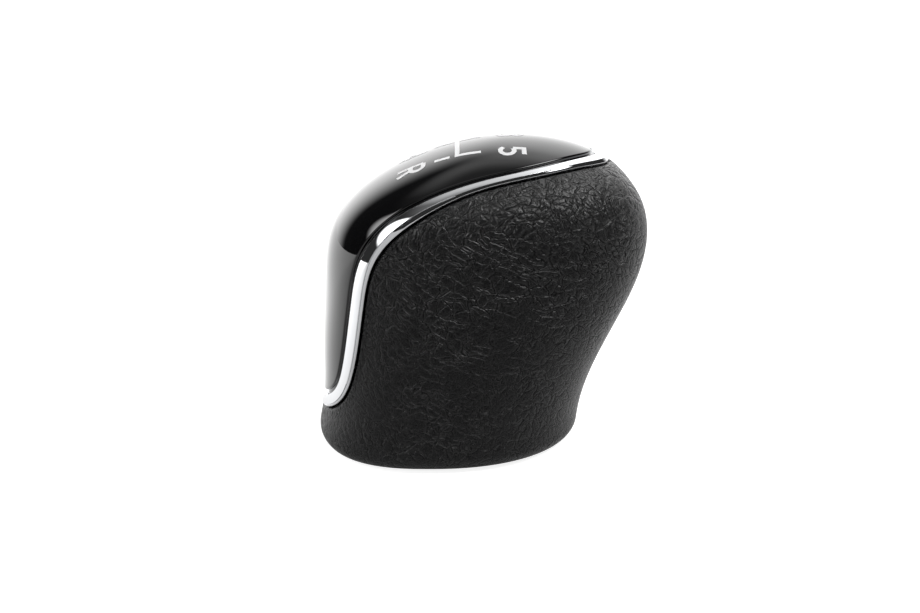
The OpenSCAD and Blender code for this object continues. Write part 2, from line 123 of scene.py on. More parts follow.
# Inside, the radius follows the thread: a wave of the height less the turn, cut flat at the crests
phase = (turn_z[None, :] / THREAD_PITCH - around[:, None] / (2 * np.pi)) % 1.0
wave = np.clip(1.35 * (1 - np.abs(2 * phase - 1)) - 0.15, 0, 1)
run_in = np.clip(1 - turn_z / 1.2, 0, 1)[None, :]
run_out = np.clip((THREAD_LENGTH - turn_z) / 1.5, 0, 1)[None, :]
bore_r = THREAD_D / 2 + (THREAD_MAJOR_D - THREAD_D) / 2 * np.maximum(wave * run_out, run_in)
inside_r = np.concatenate([bore_r, np.full((96, 1), THREAD_D / 2), np.full((96, 1), 0.0)], 1)
inside_z = np.concatenate([turn_z, [THREAD_LENGTH, THREAD_LENGTH + 3.0]])
r = np.concatenate([np.broadcast_to(outside[:, 0], (96, len(outside))), inside_r], 1)
z = np.broadcast_to(np.concatenate([outside[:, 1], inside_z]), r.shape)
turned = np.stack([r * np.cos(around)[:, None], r * np.sin(around)[:, None], z], -1)
bush = sheet_mesh("threaded_bush", turned[:, ::-1], close_u=True, smooth=False)
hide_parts("threaded_insert")
# Turned steel under zinc: fine rings across the axis and a soft grey gloss
zinc, tree, shader, place = finish_named("zinc_plated_turned_steel", "#b4b6b8", 0.34, 1.0)
rings = add(tree, "ShaderNodeTexWave", {"Vector": place, "Scale": 1.6, "Distortion": 0.6, "Detail": 2.0},
            wave_type="BANDS", bands_direction="Z").outputs["Fac"]
bump = add(tree, "ShaderNodeBump", {"Height": rings, "Strength": 0.12, "Distance": 0.00003})
tree.links.new(bump.outputs["Normal"], shader.inputs["Normal"])
cloudy = add(tree, "ShaderNodeTexNoise", {"Vector": place, "Scale": 0.35, "Detail": 4.0}).outputs["Fac"]
dull = add(tree, "ShaderNodeMapRange", {"Value": cloudy, "To Min": 0.26, "To Max": 0.44}).outputs["Result"]
tree.links.new(dull, shader.inputs["Roughness"])
bush.data.materials.append(zinc)


# Core: one moulding of glass-filled nylon with a deck, ribs, screw bosses and the middle tube, drawn down
# out of the mould. Its node is shown as built.
def dress(node, material):
    """Gives a CAD node its material in every slot."""
    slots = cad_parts[node].data.materials
    slots.clear()
    slots.append(material)


# Nylon moulding: near-black, dull, with the faint cloud of its glass fibre
nylon, tree, shader, place = finish_named("glass_filled_nylon_moulded", "#2c2c2d", 0.55)
fibre = add(tree, "ShaderNodeTexNoise", {"Vector": place, "Scale": 2.2, "Detail": 6.0,
                                         "Roughness": 0.65}).outputs["Fac"]
clouded = add(tree, "ShaderNodeMix", {"Factor": fibre, "A": linear("#232324"), "B": linear("#3a3a3b")},
              data_type="RGBA").outputs["Result"]
tree.links.new(clouded, shader.inputs["Base Color"])
bump = add(tree, "ShaderNodeBump", {"Height": fibre, "Strength": 0.3, "Distance": 0.00006})
tree.links.new(bump.outputs["Normal"], shader.inputs["Normal"])
dress("core", nylon)
dress("trim_carrier", nylon)


# Grip form: level sections are blunt ellipses, egg-shaped towards the front. The foam sleeve is the first
# piece that follows it: soft polyurethane, bonded round the core under the leather.
def spline(knots, values, flat=False):
    """Natural cubic spline through the knots, as a function; flat makes its slope zero at both ends."""
    t, y = np.asarray(knots, float), np.asarray(values, float)
    h = np.diff(t)
    g = np.diff(y) / h
    m, r = np.eye(len(t)), np.zeros(len(t))
    for i in range(1, len(t) - 1):
        m[i, i - 1:i + 2] = h[i - 1], 2 * (h[i - 1] + h[i]), h[i]
        r[i] = 6 * (g[i] - g[i - 1])
    if flat:
        m[0, :2], m[-1, -2:] = (2 * h[0], h[0]), (h[-1], 2 * h[-1])
        r[0], r[-1] = 6 * g[0], -6 * g[-1]
    k = np.linalg.solve(m, r)

    def at(x):
        x = np.asarray(x, float)
        i = np.clip(np.searchsorted(t, x, side="right") - 1, 0, len(t) - 2)
        a, b = (t[i + 1] - x) / h[i], (x - t[i]) / h[i]
        return a * y[i] + b * y[i + 1] + ((a**3 - a) * k[i] + (b**3 - b) * k[i + 1]) * h[i]**2 / 6
    return at


BODY_H, CREST_X, FULLNESS, EGG = 66.0, 13.8, 2.4, 0.13
REAR = np.array([(0, 29.6), (8, 28), (20, 27.6), (34, 26.9), (46, 25.3), (56, 17.2), (62, 6)])
FRONT = np.array([(61.5, 32.8), (58, 37), (53, 40.6), (46, 42.4), (34, 40), (20, 33.4), (8, 29.2), (0, 28.2)])
HALF = np.array([(60, 18.5), (54, 24.8), (44, 26.4), (30, 26.6), (12, 26.4), (0, 26)])


def drop(z):
    """Place on the middle line: the root of the share of the height that lies above z."""
    return np.sqrt(np.maximum(1e-6, 1 - np.asarray(z, float) / BODY_H))


middle_line = spline(np.r_[-drop(REAR[:, 0]), 0, drop(FRONT[:, 0])], np.r_[-REAR[:, 1], CREST_X, FRONT[:, 1]])
side_line = spline(np.r_[-drop(HALF[::-1, 0]), 0, drop(HALF[:, 0])], np.r_[-HALF[::-1, 1], 0, HALF[:, 1]])


def section(z):
    """Middle, half length and half width of the level section at height z."""
    u = drop(z)
    front, rear = middle_line(u), middle_line(-u)
    return (front + rear) / 2, (front - rear) / 2, side_line(u)


def plan(a, z, inset=0.0):
    """Point of the section at height z and angle a in degrees, drawn in level. The angle's cosine gives x,
    less the egg times its sine squared; y is the root of one less the cosine to the fullness."""
    mid, length, width = section(z)
    c, s = np.cos(np.radians(a)), np.sin(np.radians(a))
    x = mid + (length - inset) * (c - EGG * s * s)
    y = (width - inset) * np.sign(s) * np.sqrt(np.maximum(0, 1 - np.abs(c)**FULLNESS))
    return np.stack(np.broadcast_arrays(x, y, z), -1)


def girth(x, z):
    """Square of the half width at a place of the side view: the egg's quadratic is solved for the cosine."""
    mid, length, width = section(z)
    c = (np.sqrt(np.maximum(0, 1 + 4 * EGG * (EGG + (x - mid) / length))) - 1) / (2 * EGG)
    return width * width * (1 - np.abs(c)**FULLNESS)


def outward(p):
    """Unit normal of the skin through p, from the slopes of y squared less the girth."""
    e, x, z = 0.01, p[..., 0], np.minimum(p[..., 2], BODY_H - 0.02)
    v = np.stack([(girth(x - e, z) - girth(x + e, z)) / (2 * e), 2 * p[..., 1],
                  (girth(x, z - e) - girth(x, z + e)) / (2 * e)], -1)
    return v / np.linalg.norm(v, axis=-1, keepdims=True)


def sunk(p, depth):
    """The point p moved square to the skin, depth below it."""
    return p - np.asarray(depth, float)[..., None] * outward(p)


# Trim line, from the front crossing at 0 to the rear crossing at 12: angle, height, ring width, base angle
LAPS = np.arange(13)
trim_angle = spline(LAPS, [0, 36.5, 62.3, 84, 102.3, 116, 125.4, 131, 133, 134.8, 143, 160.8, 180])
trim_z = spline(LAPS, [61.7, 61.9, 61.3, 60.1, 58.1, 54.5, 48.9, 40.8, 31.5, 22.2, 14.4, 9.9, 8.2], flat=True)
trim_w = spline(LAPS, [2.9, 2.4, 2, 1.9, 2.2, 2.9, 3.1, 3.3, 3.5, 3.5, 3, 2.5, 2.4], flat=True)
base_angle = spline(LAPS, [0, 18, 35, 50, 63, 76, 88, 100, 112, 125, 141, 160, 180])


def beside(s, b):
    """Angle and height of the skin point b beside the trim line, towards the leather: the side direction is
    solved in the two slopes of the skin."""
    a, z, e = trim_angle(s), trim_z(s), 0.01
    on_line = plan(a, z)
    along = plan(trim_angle(s + e), trim_z(s + e)) - plan(trim_angle(s - e), trim_z(s - e))
    v = np.cross(along, outward(on_line))
    v /= np.linalg.norm(v, axis=-1, keepdims=True)
    sa = plan(a + 0.5, z) - plan(a - 0.5, z)
    sz = (plan(a, z + 0.05) - plan(a, z - 0.05)) * 10
    m, k, l = (sa * sa).sum(-1), (sa * sz).sum(-1), (sz * sz).sum(-1)
    va, vz = (v * sa).sum(-1), (v * sz).sum(-1)
    det = m * l - k * k
    return a + b * (va * l - vz * k) / det, z + b * (vz * m - va * k) / det


def at_trim(s, b, depth):
    """The skin point b beside the trim line at s, sunk by depth."""
    s, b, depth = np.broadcast_arrays(s, b, depth)
    a, z = beside(s, b)
    return sunk(plan(a, z), depth)


def rows(s, z0, b, depth, t):
    """Points from height z0 at the base to the point b beside the trim line, for each s and t: angle and
    height run evenly, and the depth turns from level at the base to square at the trim line."""
    s, t = s[:, None], t[None, :]
    a1, z1 = beside(s, np.reshape(b, (-1, 1)))
    a = base_angle(s) + (a1 - base_angle(s)) * t
    z = z0 + (z1 - z0) * t
    return (1 - t)[..., None] * plan(a, z, depth) + t[..., None] * sunk(plan(a, z), np.full(a.shape, depth))


def foot(s, z, inset):
    """Points round the base at heights z, drawn in level, for each s."""
    z, inset = np.atleast_1d(z).astype(float), np.atleast_1d(inset).astype(float)
    return plan(base_angle(s)[:, None], z[None, :], inset[None, :])


def both_sides(columns):
    """Columns from the front crossing to the rear one, joined with their mirror image into a closed round."""
    columns = columns.copy()
    columns[0, :, 1] = columns[-1, :, 1] = 0
    return np.concatenate([columns, (columns * (1, -1, 1))[-2:0:-1]])


FOAM_Z, LEATHER_T, FOAM_IN, TUCK, GAP = 3.5, 1.2, 4.0, 2.0, 0.1
s = np.linspace(0, 12, 121)
rim = trim_w(s) / 2 + TUCK + 0.25
t = np.linspace(0, 1, 25)
sleeve = np.concatenate([foot(s, FOAM_Z, FOAM_IN), foot(s, FOAM_Z, LEATHER_T + GAP + 0.05),
                         rows(s, FOAM_Z, rim, LEATHER_T + GAP + 0.05, t)[:, 1:],
                         at_trim(s, rim + 0.15, FOAM_IN)[:, None],
                         rows(s, FOAM_Z, rim, FOAM_IN - 0.05, t)[:, -2:0:-1]], 1)
foam = sheet_mesh("foam_sleeve", both_sides(sleeve), close_u=True, close_v=True)
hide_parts("foam_pad")
# Polyurethane foam: dull grey-green with open cells a third of a millimetre across
foam_finish, tree, shader, place = finish_named("polyurethane_foam_cut", "#8d8a72", 0.95)
cells = add(tree, "ShaderNodeTexVoronoi", {"Vector": place, "Scale": 3.0}).outputs["Distance"]
open_cells = add(tree, "ShaderNodeMix", {"Factor": cells, "A": linear("#6f6c58"), "B": linear("#9a9780")},
                 data_type="RGBA").outputs["Result"]
tree.links.new(open_cells, shader.inputs["Base Color"])
bump = add(tree, "ShaderNodeBump", {"Height": cells, "Strength": 0.6, "Distance": 0.0002})
tree.links.new(bump.outputs["Normal"], shader.inputs["Normal"])
foam.data.materials.append(foam_finish)


# Leather cover: one piece of black grained cowhide, sewn into a sock with its seam down the front, pulled
# over the foam, turned in under the core and tucked into the groove beside the chrome ring.
FOOT_R, HEM_Z, HEM_T, HEM_W, EDGE_R, RIM_IN = 3.5, 0.9, 1.1, 7.0, 1.0, 2.3
SEAM_W, SEAM_D = 0.45, 0.32
s = 12 * np.linspace(0, 1, 261)**1.35
h = trim_w(s) / 2
roll = np.radians(np.linspace(48, 0, 9))
turn = np.radians(np.linspace(0, 90, 7))
t_out = np.linspace(0, 1, 76)
t_in = np.linspace(0, 1, 9)
outer = np.concatenate([
    foot(s, [HEM_Z], [HEM_W + 1.16]), foot(s, [HEM_Z], [3.0]),
    foot(s, FOOT_R * (1 - np.sin(roll)), FOOT_R * (1 - np.cos(roll))),
    rows(s, FOOT_R, h + 0.25 + EDGE_R, 0.0, t_out)[:, 1:]], 1)
edge = np.stack([at_trim(s, h + 0.25 + EDGE_R * (1 - np.sin(k)), EDGE_R * (1 - np.cos(k)))
                 for k in turn[1:]], 1)
inner = np.concatenate([
    np.stack([at_trim(s, h + 0.25, RIM_IN), at_trim(s, h + TUCK + 0.1, RIM_IN)], 1),
    rows(s, FOAM_Z, h + TUCK + 0.25, LEATHER_T, t_in)[:, ::-1],
    foot(s, [HEM_Z + HEM_T, HEM_Z + HEM_T], [FOOT_R / 2, HEM_W + 1.16])], 1)
# The seam is a closed valley down the front, deepest on the middle plane; the rest lies a hair under the skin
skin = np.concatenate([outer, edge], 1)
valley = 0.02 + SEAM_D * np.exp(-(skin[..., 1] / SEAM_W)**2) * (skin[..., 0] > 0)
valley[:, :2] = 0
skin = skin - valley[..., None] * outward(skin)
hide = both_sides(np.concatenate([skin, inner], 1))
leather = sheet_mesh("leather_cover_sewn", hide, close_u=True, close_v=True)
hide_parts("leather_cover")
# Places on the hide in millimetres: round the grip from the rear, up from the foot, and down from the rim
step_u = np.linalg.norm(np.diff(hide[:261, 45], axis=0), axis=1)
round_u = np.r_[np.cumsum(step_u[::-1])[::-1], 0]
round_u = np.r_[round_u, -round_u[-2:0:-1]]
up_v = np.cumsum(np.r_[np.zeros((1, len(hide))), np.linalg.norm(np.diff(hide, axis=1), axis=2).T], 0).T
to_rim = up_v[:, skin.shape[1] - 1:skin.shape[1]] - up_v
flat = np.stack([np.broadcast_to(round_u[:, None], up_v.shape), up_v, to_rim], -1)
leather.data.attributes.new("hide", "FLOAT_VECTOR", "POINT").data.foreach_set("vector", flat.ravel())
# Corrected grain cowhide, black: creases as deep thin lines round soft pillows 2 to 5 mm wide, strongest over
# the shoulders and faint lower down, over a fine pebble, all under a low wax sheen
cowhide, tree, shader, _ = finish_named("grained_cowhide_black", "#101011", 0.5)
on_hide = add(tree, "ShaderNodeAttribute", attribute_name="hide").outputs["Vector"]
wander = add(tree, "ShaderNodeTexNoise", {"Vector": on_hide, "Scale": 0.10, "Detail": 3.0, "Roughness": 0.45})
shift = add(tree, "ShaderNodeVectorMath", {0: wander.outputs["Color"], 1: (7.0, 7.0, 7.0)},
            operation="MULTIPLY").outputs[0]
pulled = add(tree, "ShaderNodeVectorMath", {0: on_hide, 1: shift}, operation="ADD").outputs[0]
# A finer pull keeps the creases from running straight
wriggle = add(tree, "ShaderNodeTexNoise", {"Vector": on_hide, "Scale": 0.45, "Detail": 2.0}).outputs["Color"]
wriggle = add(tree, "ShaderNodeVectorMath", {0: wriggle, 1: (1.3, 1.3, 1.3)}, operation="MULTIPLY").outputs[0]
pulled = add(tree, "ShaderNodeVectorMath", {0: pulled, 1: wriggle}, operation="ADD").outputs[0]
hide_xyz = add(tree, "ShaderNodeSeparateXYZ", {"Vector": on_hide}).outputs
patchy = add(tree, "ShaderNodeTexNoise", {"Vector": on_hide, "Scale": 0.12, "Detail": 3.0}).outputs["Fac"]
shoulder = add(tree, "ShaderNodeMapRange", {"Value": hide_xyz["Y"], "From Min": 25.0, "From Max": 62.0,
                                            "To Min": 0.5}).outputs["Result"]
strong = add(tree, "ShaderNodeMapRange", {"Value": patchy, "From Min": 0.38, "From Max": 0.60,
                                          "To Min": 0.3}).outputs["Result"]
strong = add(tree, "ShaderNodeMath", {0: strong, 1: shoulder}, operation="MULTIPLY").outputs[0]
# Per net: its turn, the length and the width of its pillows in millimetres, and its share
lines, pillows, lips = 0.0, 0.0, 0.0
for turn_deg, pillow_mm, share in ((40, (5.2, 2.1, 1), 1.0), (-32, (4.0, 1.9, 1), 0.8),
                                   (86, (2.4, 1.1, 1), 0.28)):
    turned = add(tree, "ShaderNodeMapping", {"Vector": pulled, "Rotation": (0, 0, np.radians(turn_deg)),
                                             "Scale": pillow_mm}, vector_type="TEXTURE").outputs["Vector"]
    net = add(tree, "ShaderNodeTexVoronoi", {"Vector": turned, "Scale": 1.0}, voronoi_dimensions="2D",
              feature="DISTANCE_TO_EDGE").outputs["Distance"]
    line = add(tree, "ShaderNodeMapRange", {"Value": net, "From Max": 0.08, "To Min": share, "To Max": 0.0},
               interpolation_type="SMOOTHSTEP").outputs["Result"]
    pillow = add(tree, "ShaderNodeMapRange", {"Value": net, "From Max": 0.30, "To Max": 0.24 * share},
                 interpolation_type="SMOOTHERSTEP").outputs["Result"]
    lip = add(tree, "ShaderNodeMapRange", {"Value": net, "From Min": 0.16, "From Max": 0.07,
                                           "To Max": share * share},
              interpolation_type="SMOOTHSTEP").outputs["Result"]
    lines = add(tree, "ShaderNodeMath", {0: lines, 1: line}, operation="MAXIMUM").outputs[0]
    pillows = add(tree, "ShaderNodeMath", {0: pillows, 1: pillow}, operation="ADD").outputs[0]
    lips = add(tree, "ShaderNodeMath", {0: lips, 1: lip}, operation="MAXIMUM").outputs[0]
# Where the hide is pulled over the rim, short puckers run square to it
gathered = add(tree, "ShaderNodeMapping", {"Vector": pulled, "Scale": (0.8, 0.10, 1)}).outputs["Vector"]
pucker = add(tree, "ShaderNodeTexVoronoi", {"Vector": gathered, "Scale": 1.0}, voronoi_dimensions="2D",
             feature="DISTANCE_TO_EDGE").outputs["Distance"]
pucker = add(tree, "ShaderNodeMapRange", {"Value": pucker, "From Max": 0.16, "To Min": 1.0, "To Max": 0.0},
             interpolation_type="SMOOTHSTEP").outputs["Result"]
by_rim = add(tree, "ShaderNodeMapRange", {"Value": hide_xyz["Z"], "From Min": 7.0, "From Max": 1.0,
                                          "To Max": 0.45}, interpolation_type="SMOOTHSTEP").outputs["Result"]
pucker = add(tree, "ShaderNodeMath", {0: pucker, 1: by_rim}, operation="MULTIPLY").outputs[0]
lines = add(tree, "ShaderNodeMath", {0: lines, 1: strong}, operation="MULTIPLY").outputs[0]
lines = add(tree, "ShaderNodeMath", {0: lines, 1: pucker}, operation="MAXIMUM").outputs[0]
lips = add(tree, "ShaderNodeMath", {0: lips, 1: strong}, operation="MULTIPLY").outputs[0]
pebble = add(tree, "ShaderNodeTexVoronoi", {"Vector": on_hide, "Scale": 1.7, "Smoothness": 0.6},
             voronoi_dimensions="2D", feature="SMOOTH_F1").outputs["Distance"]
pores = add(tree, "ShaderNodeTexNoise", {"Vector": on_hide, "Scale": 3.2, "Detail": 3.0}).outputs["Fac"]
height = add(tree, "ShaderNodeMath", {0: pillows, 1: strong}, operation="MULTIPLY").outputs[0]
height = add(tree, "ShaderNodeMath", {0: lines, 1: -0.9, 2: height}, operation="MULTIPLY_ADD").outputs[0]
height = add(tree, "ShaderNodeMath", {0: pebble, 1: -0.12, 2: height}, operation="MULTIPLY_ADD").outputs[0]
height = add(tree, "ShaderNodeMath", {0: pores, 1: 0.22, 2: height}, operation="MULTIPLY_ADD").outputs[0]
bump = add(tree, "ShaderNodeBump", {"Height": height, "Strength": 1.0, "Distance": 0.0005})
tree.links.new(bump.outputs["Normal"], shader.inputs["Normal"])
satin = add(tree, "ShaderNodeMapRange", {"Value": pores, "To Min": 0.26, "To Max": 0.44}).outputs["Result"]
tree.links.new(satin, shader.inputs["Roughness"])
# Hands have burnished the lips of the creases and the crown in front, where the palm rests. The wax lies
# uneven over the pores. In the colour the lips are lighter, partly wear and partly painted highlight, and the
# creases are painted shade
palm = add(tree, "ShaderNodeMapRange", {"Value": hide_xyz["Y"], "From Min": 53.0, "From Max": 68.0},
           interpolation_type="SMOOTHSTEP").outputs["Result"]
burnish = add(tree, "ShaderNodeMath", {0: lines, 1: -1.5, 2: lips}, operation="MULTIPLY_ADD").outputs[0]
burnish = add(tree, "ShaderNodeMath", {0: pores, 1: 2.0, 2: burnish}, operation="MULTIPLY_ADD").outputs[0]
burnish = add(tree, "ShaderNodeMath", {0: burnish, 1: palm}, operation="ADD").outputs[0]
sheen = add(tree, "ShaderNodeMapRange", {"Value": burnish, "From Min": 0.2, "From Max": 3.0,
                                         "To Max": 0.86}).outputs["Result"]
tree.links.new(sheen, shader.inputs["Specular IOR Level"])
# Lighter lips of the creases in the colour: partly wear, partly painted highlight
lip_wear_and_painted_highlight = add(tree, "ShaderNodeMix", {"Factor": lips, "A": linear("#060607"), "B": linear("#0e0e0f")},
           data_type="RGBA").outputs["Result"]
# Painted shade: the creases are darkened in the base colour
colour_with_painted_crease_shade = add(tree, "ShaderNodeMix", {"Factor": lines, "A": lip_wear_and_painted_highlight, "B": linear("#030303")},
           data_type="RGBA").outputs["Result"]
tree.links.new(colour_with_painted_crease_shade, shader.inputs["Base Color"])
leather.data.materials.append(cowhide)


# Base plate: a thin moulded plastic ring that clamps the turned-in hem, held from below by three
# countersunk screws of zinc-plated steel. The two pan-head screws above hold the trim carrier.
moulded, tree, shader, place = finish_named("abs_fine_spark_texture", "#1a1a1b", 0.6)
spark = add(tree, "ShaderNodeTexNoise", {"Vector": place, "Scale": 4.0, "Detail": 4.0}).outputs["Fac"]
bump = add(tree, "ShaderNodeBump", {"Height": spark, "Strength": 0.35, "Distance": 0.00004})
tree.links.new(bump.outputs["Normal"], shader.inputs["Normal"])
dress("base_plate", moulded)
dress("base_screws", zinc)
dress("carrier_screws", zinc)


# Chrome ring: one ABS moulding plated bright, pegged through the carrier. Its face leans towards the cap and
# a bevel runs beside the leather; down the driver's side a fine groove parts the two.
LEAN = np.radians(10.5)
bevel_share = spline(LAPS, [0.32, 0.33, 0.32, 0.28, 0.28, 0.34, 0.34, 0.2, 0.16, 0.14, 0.16, 0.22, 0.28])
s = np.linspace(0, 12, 361)
h = trim_w(s) / 2
brow, face_from, slope_to = h - bevel_share(s) * 2 * h, -h + 0.07, h - 0.10
crest_up = 0.12 + 0.19 * h
inner_up = crest_up - np.tan(LEAN) * (brow - face_from)
fall = (crest_up - 0.02) / (slope_to - brow)
groove_d = 0.5 * np.clip(s - 4.2, 0, 1)
# Across the ring from the cap's side: the places beside the trim line and the heights over the skin
wall = [(-h, -2.15), (-h, inner_up - 0.45), (-h, inner_up - 0.06), (-h + 0.03, inner_up - 0.01)]
face = [(face_from * (1 - k) + brow * k, inner_up * (1 - k) + crest_up * k + 0.03 * k * (1 - k))
        for k in (0, 0.03, 0.2, 0.4, 0.6, 0.8, 0.97, 1)]
bevel = [(brow + o, crest_up - fall * o - groove_d * deep)
         for o, deep in ((0.015, 0), (0.02, 1), (0.16, 1), (0.165, 0), (0.18, 0))]
bevel += [((brow + 0.18) * (1 - k) + slope_to * k,
           (crest_up - fall * 0.18) * (1 - k) + 0.02 * k + 0.03 * k * (1 - k))
          for k in (0.2, 0.4, 0.6, 0.8, 1)]
skirt = [(h - 0.03, -0.06), (h, -0.25), (h, -2.15)]
points = np.stack([at_trim(s, b, -up) for b, up in wall + face + bevel + skirt], 1)
ring = sheet_mesh("chrome_trim_ring", both_sides(points)[:, ::-1], close_u=True, close_v=True)
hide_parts("chrome_ring")
# Bright chrome on ABS: a mirror, a little uneven as plated plastic is
chrome, tree, shader, place = finish_named("bright_chrome_on_abs", "#d1d2d4", 0.03, 1.0)
uneven = add(tree, "ShaderNodeTexNoise", {"Vector": place, "Scale": 0.25, "Detail": 1.0}).outputs["Fac"]
bump = add(tree, "ShaderNodeBump", {"Height": uneven, "Strength": 0.25, "Distance": 0.0001})
tree.links.new(bump.outputs["Normal"], shader.inputs["Normal"])
ring.data.materials.append(chrome)


# Gloss cap: an ABS moulding lacquered piano black, over the top and down the driver's face in a tongue with
# a round end. Its rim steps down beside the chrome ring; tape and four pegs hold it to the carrier.
CAP_T, STEP_W, STEP_D, CAP_SUNK = 2.2, 0.9, 0.7, 0.05
DOME = [0.187, 0.095, -0.01, -0.135, -0.25, -0.365, -0.49, -0.628, -0.744, -0.835, -0.896]


def over_dome(s, b, depth, w):
    """Rows over the dome for each s: w runs from -1 at one edge to 1 at the other. The place in the side view
    goes from the middle line to the edge by the square of w, and y is the root of the girth there."""
    b = np.broadcast_to(b, s.shape)
    ends = [drop(beside(s[:1], b[:1])[1])[0], -drop(beside(s[-1:], b[-1:])[1])[0]]
    crown = spline(LAPS, [ends[0], *DOME, ends[1]])(s)
    a, z = beside(s, b)
    rim_point = plan(a, z)
    top = np.stack([middle_line(crown), BODY_H * (1 - crown**2)], -1)[:, None]
    place = top + (rim_point[:, None, ::2] - top) * (w**2)[None, :, None]
    y = np.sqrt(np.maximum(0, girth(place[..., 0], place[..., 1])))
    y = np.where(np.abs(w) == 1, np.abs(rim_point[:, None, 1]), y)
    p = sunk(np.stack([place[..., 0], y, place[..., 1]], -1), np.full(y.shape, depth))
    p[..., 1] *= np.sign(w)
    return p


s = np.linspace(0, 12, 321)
h = trim_w(s) / 2 + GAP
w = np.linspace(1, -1, 81)
# Rim, from the bottom edge up: offset from the ring's side and depth
rim_steps = [(0.0, CAP_T), (0.0, STEP_D + 0.12), (0.04, STEP_D + 0.03), (0.14, STEP_D),
             (STEP_W - 0.2, STEP_D - 0.02), (STEP_W - 0.08, STEP_D - 0.08), (STEP_W, STEP_D - 0.22),
             (STEP_W + 0.05, 0.28), (STEP_W + 0.12, 0.14), (STEP_W + 0.24, 0.06)]
left_rim = np.stack([at_trim(s, -h - o, np.full_like(s, d)) for o, d in rim_steps], 1)
dome = over_dome(s, -h - STEP_W - 0.42, CAP_SUNK, w)
right_rim = left_rim[:, ::-1] * (1, -1, 1)
under = over_dome(s, -h - 0.02, CAP_T, np.linspace(-1, 1, 21))
gloss = sheet_mesh("gloss_cap_lacquered", np.concatenate([left_rim, dome, right_rim, under], 1), close_v=True)
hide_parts("gloss_cap")
# Piano black: black ABS under polished clear lacquer, a deep black with mirror reflections
lacquer, tree, shader, place = finish_named("piano_black_lacquer", "#060607", 0.02)
shader.inputs["IOR"].default_value = 1.5
orange_peel = add(tree, "ShaderNodeTexNoise", {"Vector": place, "Scale": 0.12, "Detail": 1.0}).outputs["Fac"]
bump = add(tree, "ShaderNodeBump", {"Height": orange_peel, "Strength": 0.15, "Distance": 0.0001})
tree.links.new(bump.outputs["Normal"], shader.inputs["Normal"])
gloss.data.materials.append(lacquer)


# Shift pattern: white ink printed on the cap, seen from the driver's seat: 1 3 5 in front, 2 4 R behind.
INK_W, INK_SUNK, COLUMN, NUMERAL = 0.95, 0.01, 10.0, 0.86


def arc(cx, cy, rx, ry, a0, a1, n=12):
    """Points along an ellipse's arc between two angles in degrees."""
    a = np.radians(np.linspace(a0, a1, n))
    return np.stack([cx + rx * np.cos(a), cy + ry * np.sin(a)], -1)


# Numerals on a 4 x 6.6 mm body, x to the reader's right and y up, from the lower left corner
GLYPHS = {
    "1": [[(0.9, 5.2), (2.2, 6.2), (2.2, 0)]],
    "2": [np.r_[arc(2.0, 4.5, 1.5, 1.6, 165, -35), [(0.45, 0.5)]], [(0.1, 0.5), (3.6, 0.5)]],
    "3": [arc(1.9, 4.65, 1.45, 1.45, 150, -80), arc(1.9, 1.9, 1.6, 1.5, 85, -150)],
    "4": [[(2.9, 0), (2.9, 6.1), (0.3, 2.0), (3.9, 2.0)]],
    "5": [[(3.4, 6.1), (0.85, 6.1), (0.65, 3.5)], arc(1.85, 2.15, 1.65, 1.65, 125, -150)],
    "R": [[(0.5, 0), (0.5, 6.1)], np.r_[[(0.5, 6.1)], arc(2.2, 4.6, 1.4, 1.5, 90, -90), [(0.5, 3.1)]],
          [(2.3, 3.1), (3.6, 0)]],
}


def dense(line, step=0.35):
    """The line with points at most step apart."""
    line = np.asarray(line, float)
    parts = []
    for a, b in zip(line[:-1], line[1:]):
        n = max(1, int(np.ceil(np.linalg.norm(b - a) / step)))
        parts.append(a + (b - a) * np.arange(n)[:, None] / n)
    return np.concatenate(parts + [line[-1:]])


def ribbon(line, width):
    """A strip along a flat line, five points across: each lies square to the line's mean direction."""
    line = dense(line)
    seg = np.diff(line, axis=0)
    seg /= np.linalg.norm(seg, axis=1, keepdims=True)
    d = np.r_[seg[:1], seg[:-1] + seg[1:], seg[-1:]]
    d /= np.linalg.norm(d, axis=1, keepdims=True)
    turn = np.ones(len(line))
    turn[1:-1] = 1 / np.sqrt(np.clip((1 + (seg[:-1] * seg[1:]).sum(1)) / 2, 0.3, 1))
    across_d = np.stack([-d[:, 1], d[:, 0]], -1) * turn[:, None]
    return line[:, None] + across_d[:, None] * np.linspace(-width / 2, width / 2, 5)[None, :, None]


def on_dome(flat_xy, depth):
    """The points (x, y) of the plan raised to the cap's skin: the height where the girth equals y squared,
    found by halving, and then sunk by depth."""
    x, y = flat_xy[..., 0], flat_xy[..., 1]
    lo, hi = np.zeros(x.shape), np.full(x.shape, 0.75)
    for _ in range(40):
        mid = (lo + hi) / 2
        inside = girth(x, BODY_H * (1 - mid**2)) > y * y
        lo, hi = np.where(inside, lo, mid), np.where(inside, mid, hi)
    return sunk(np.stack([x, y, BODY_H * (1 - hi**2)], -1), np.full(x.shape, depth))


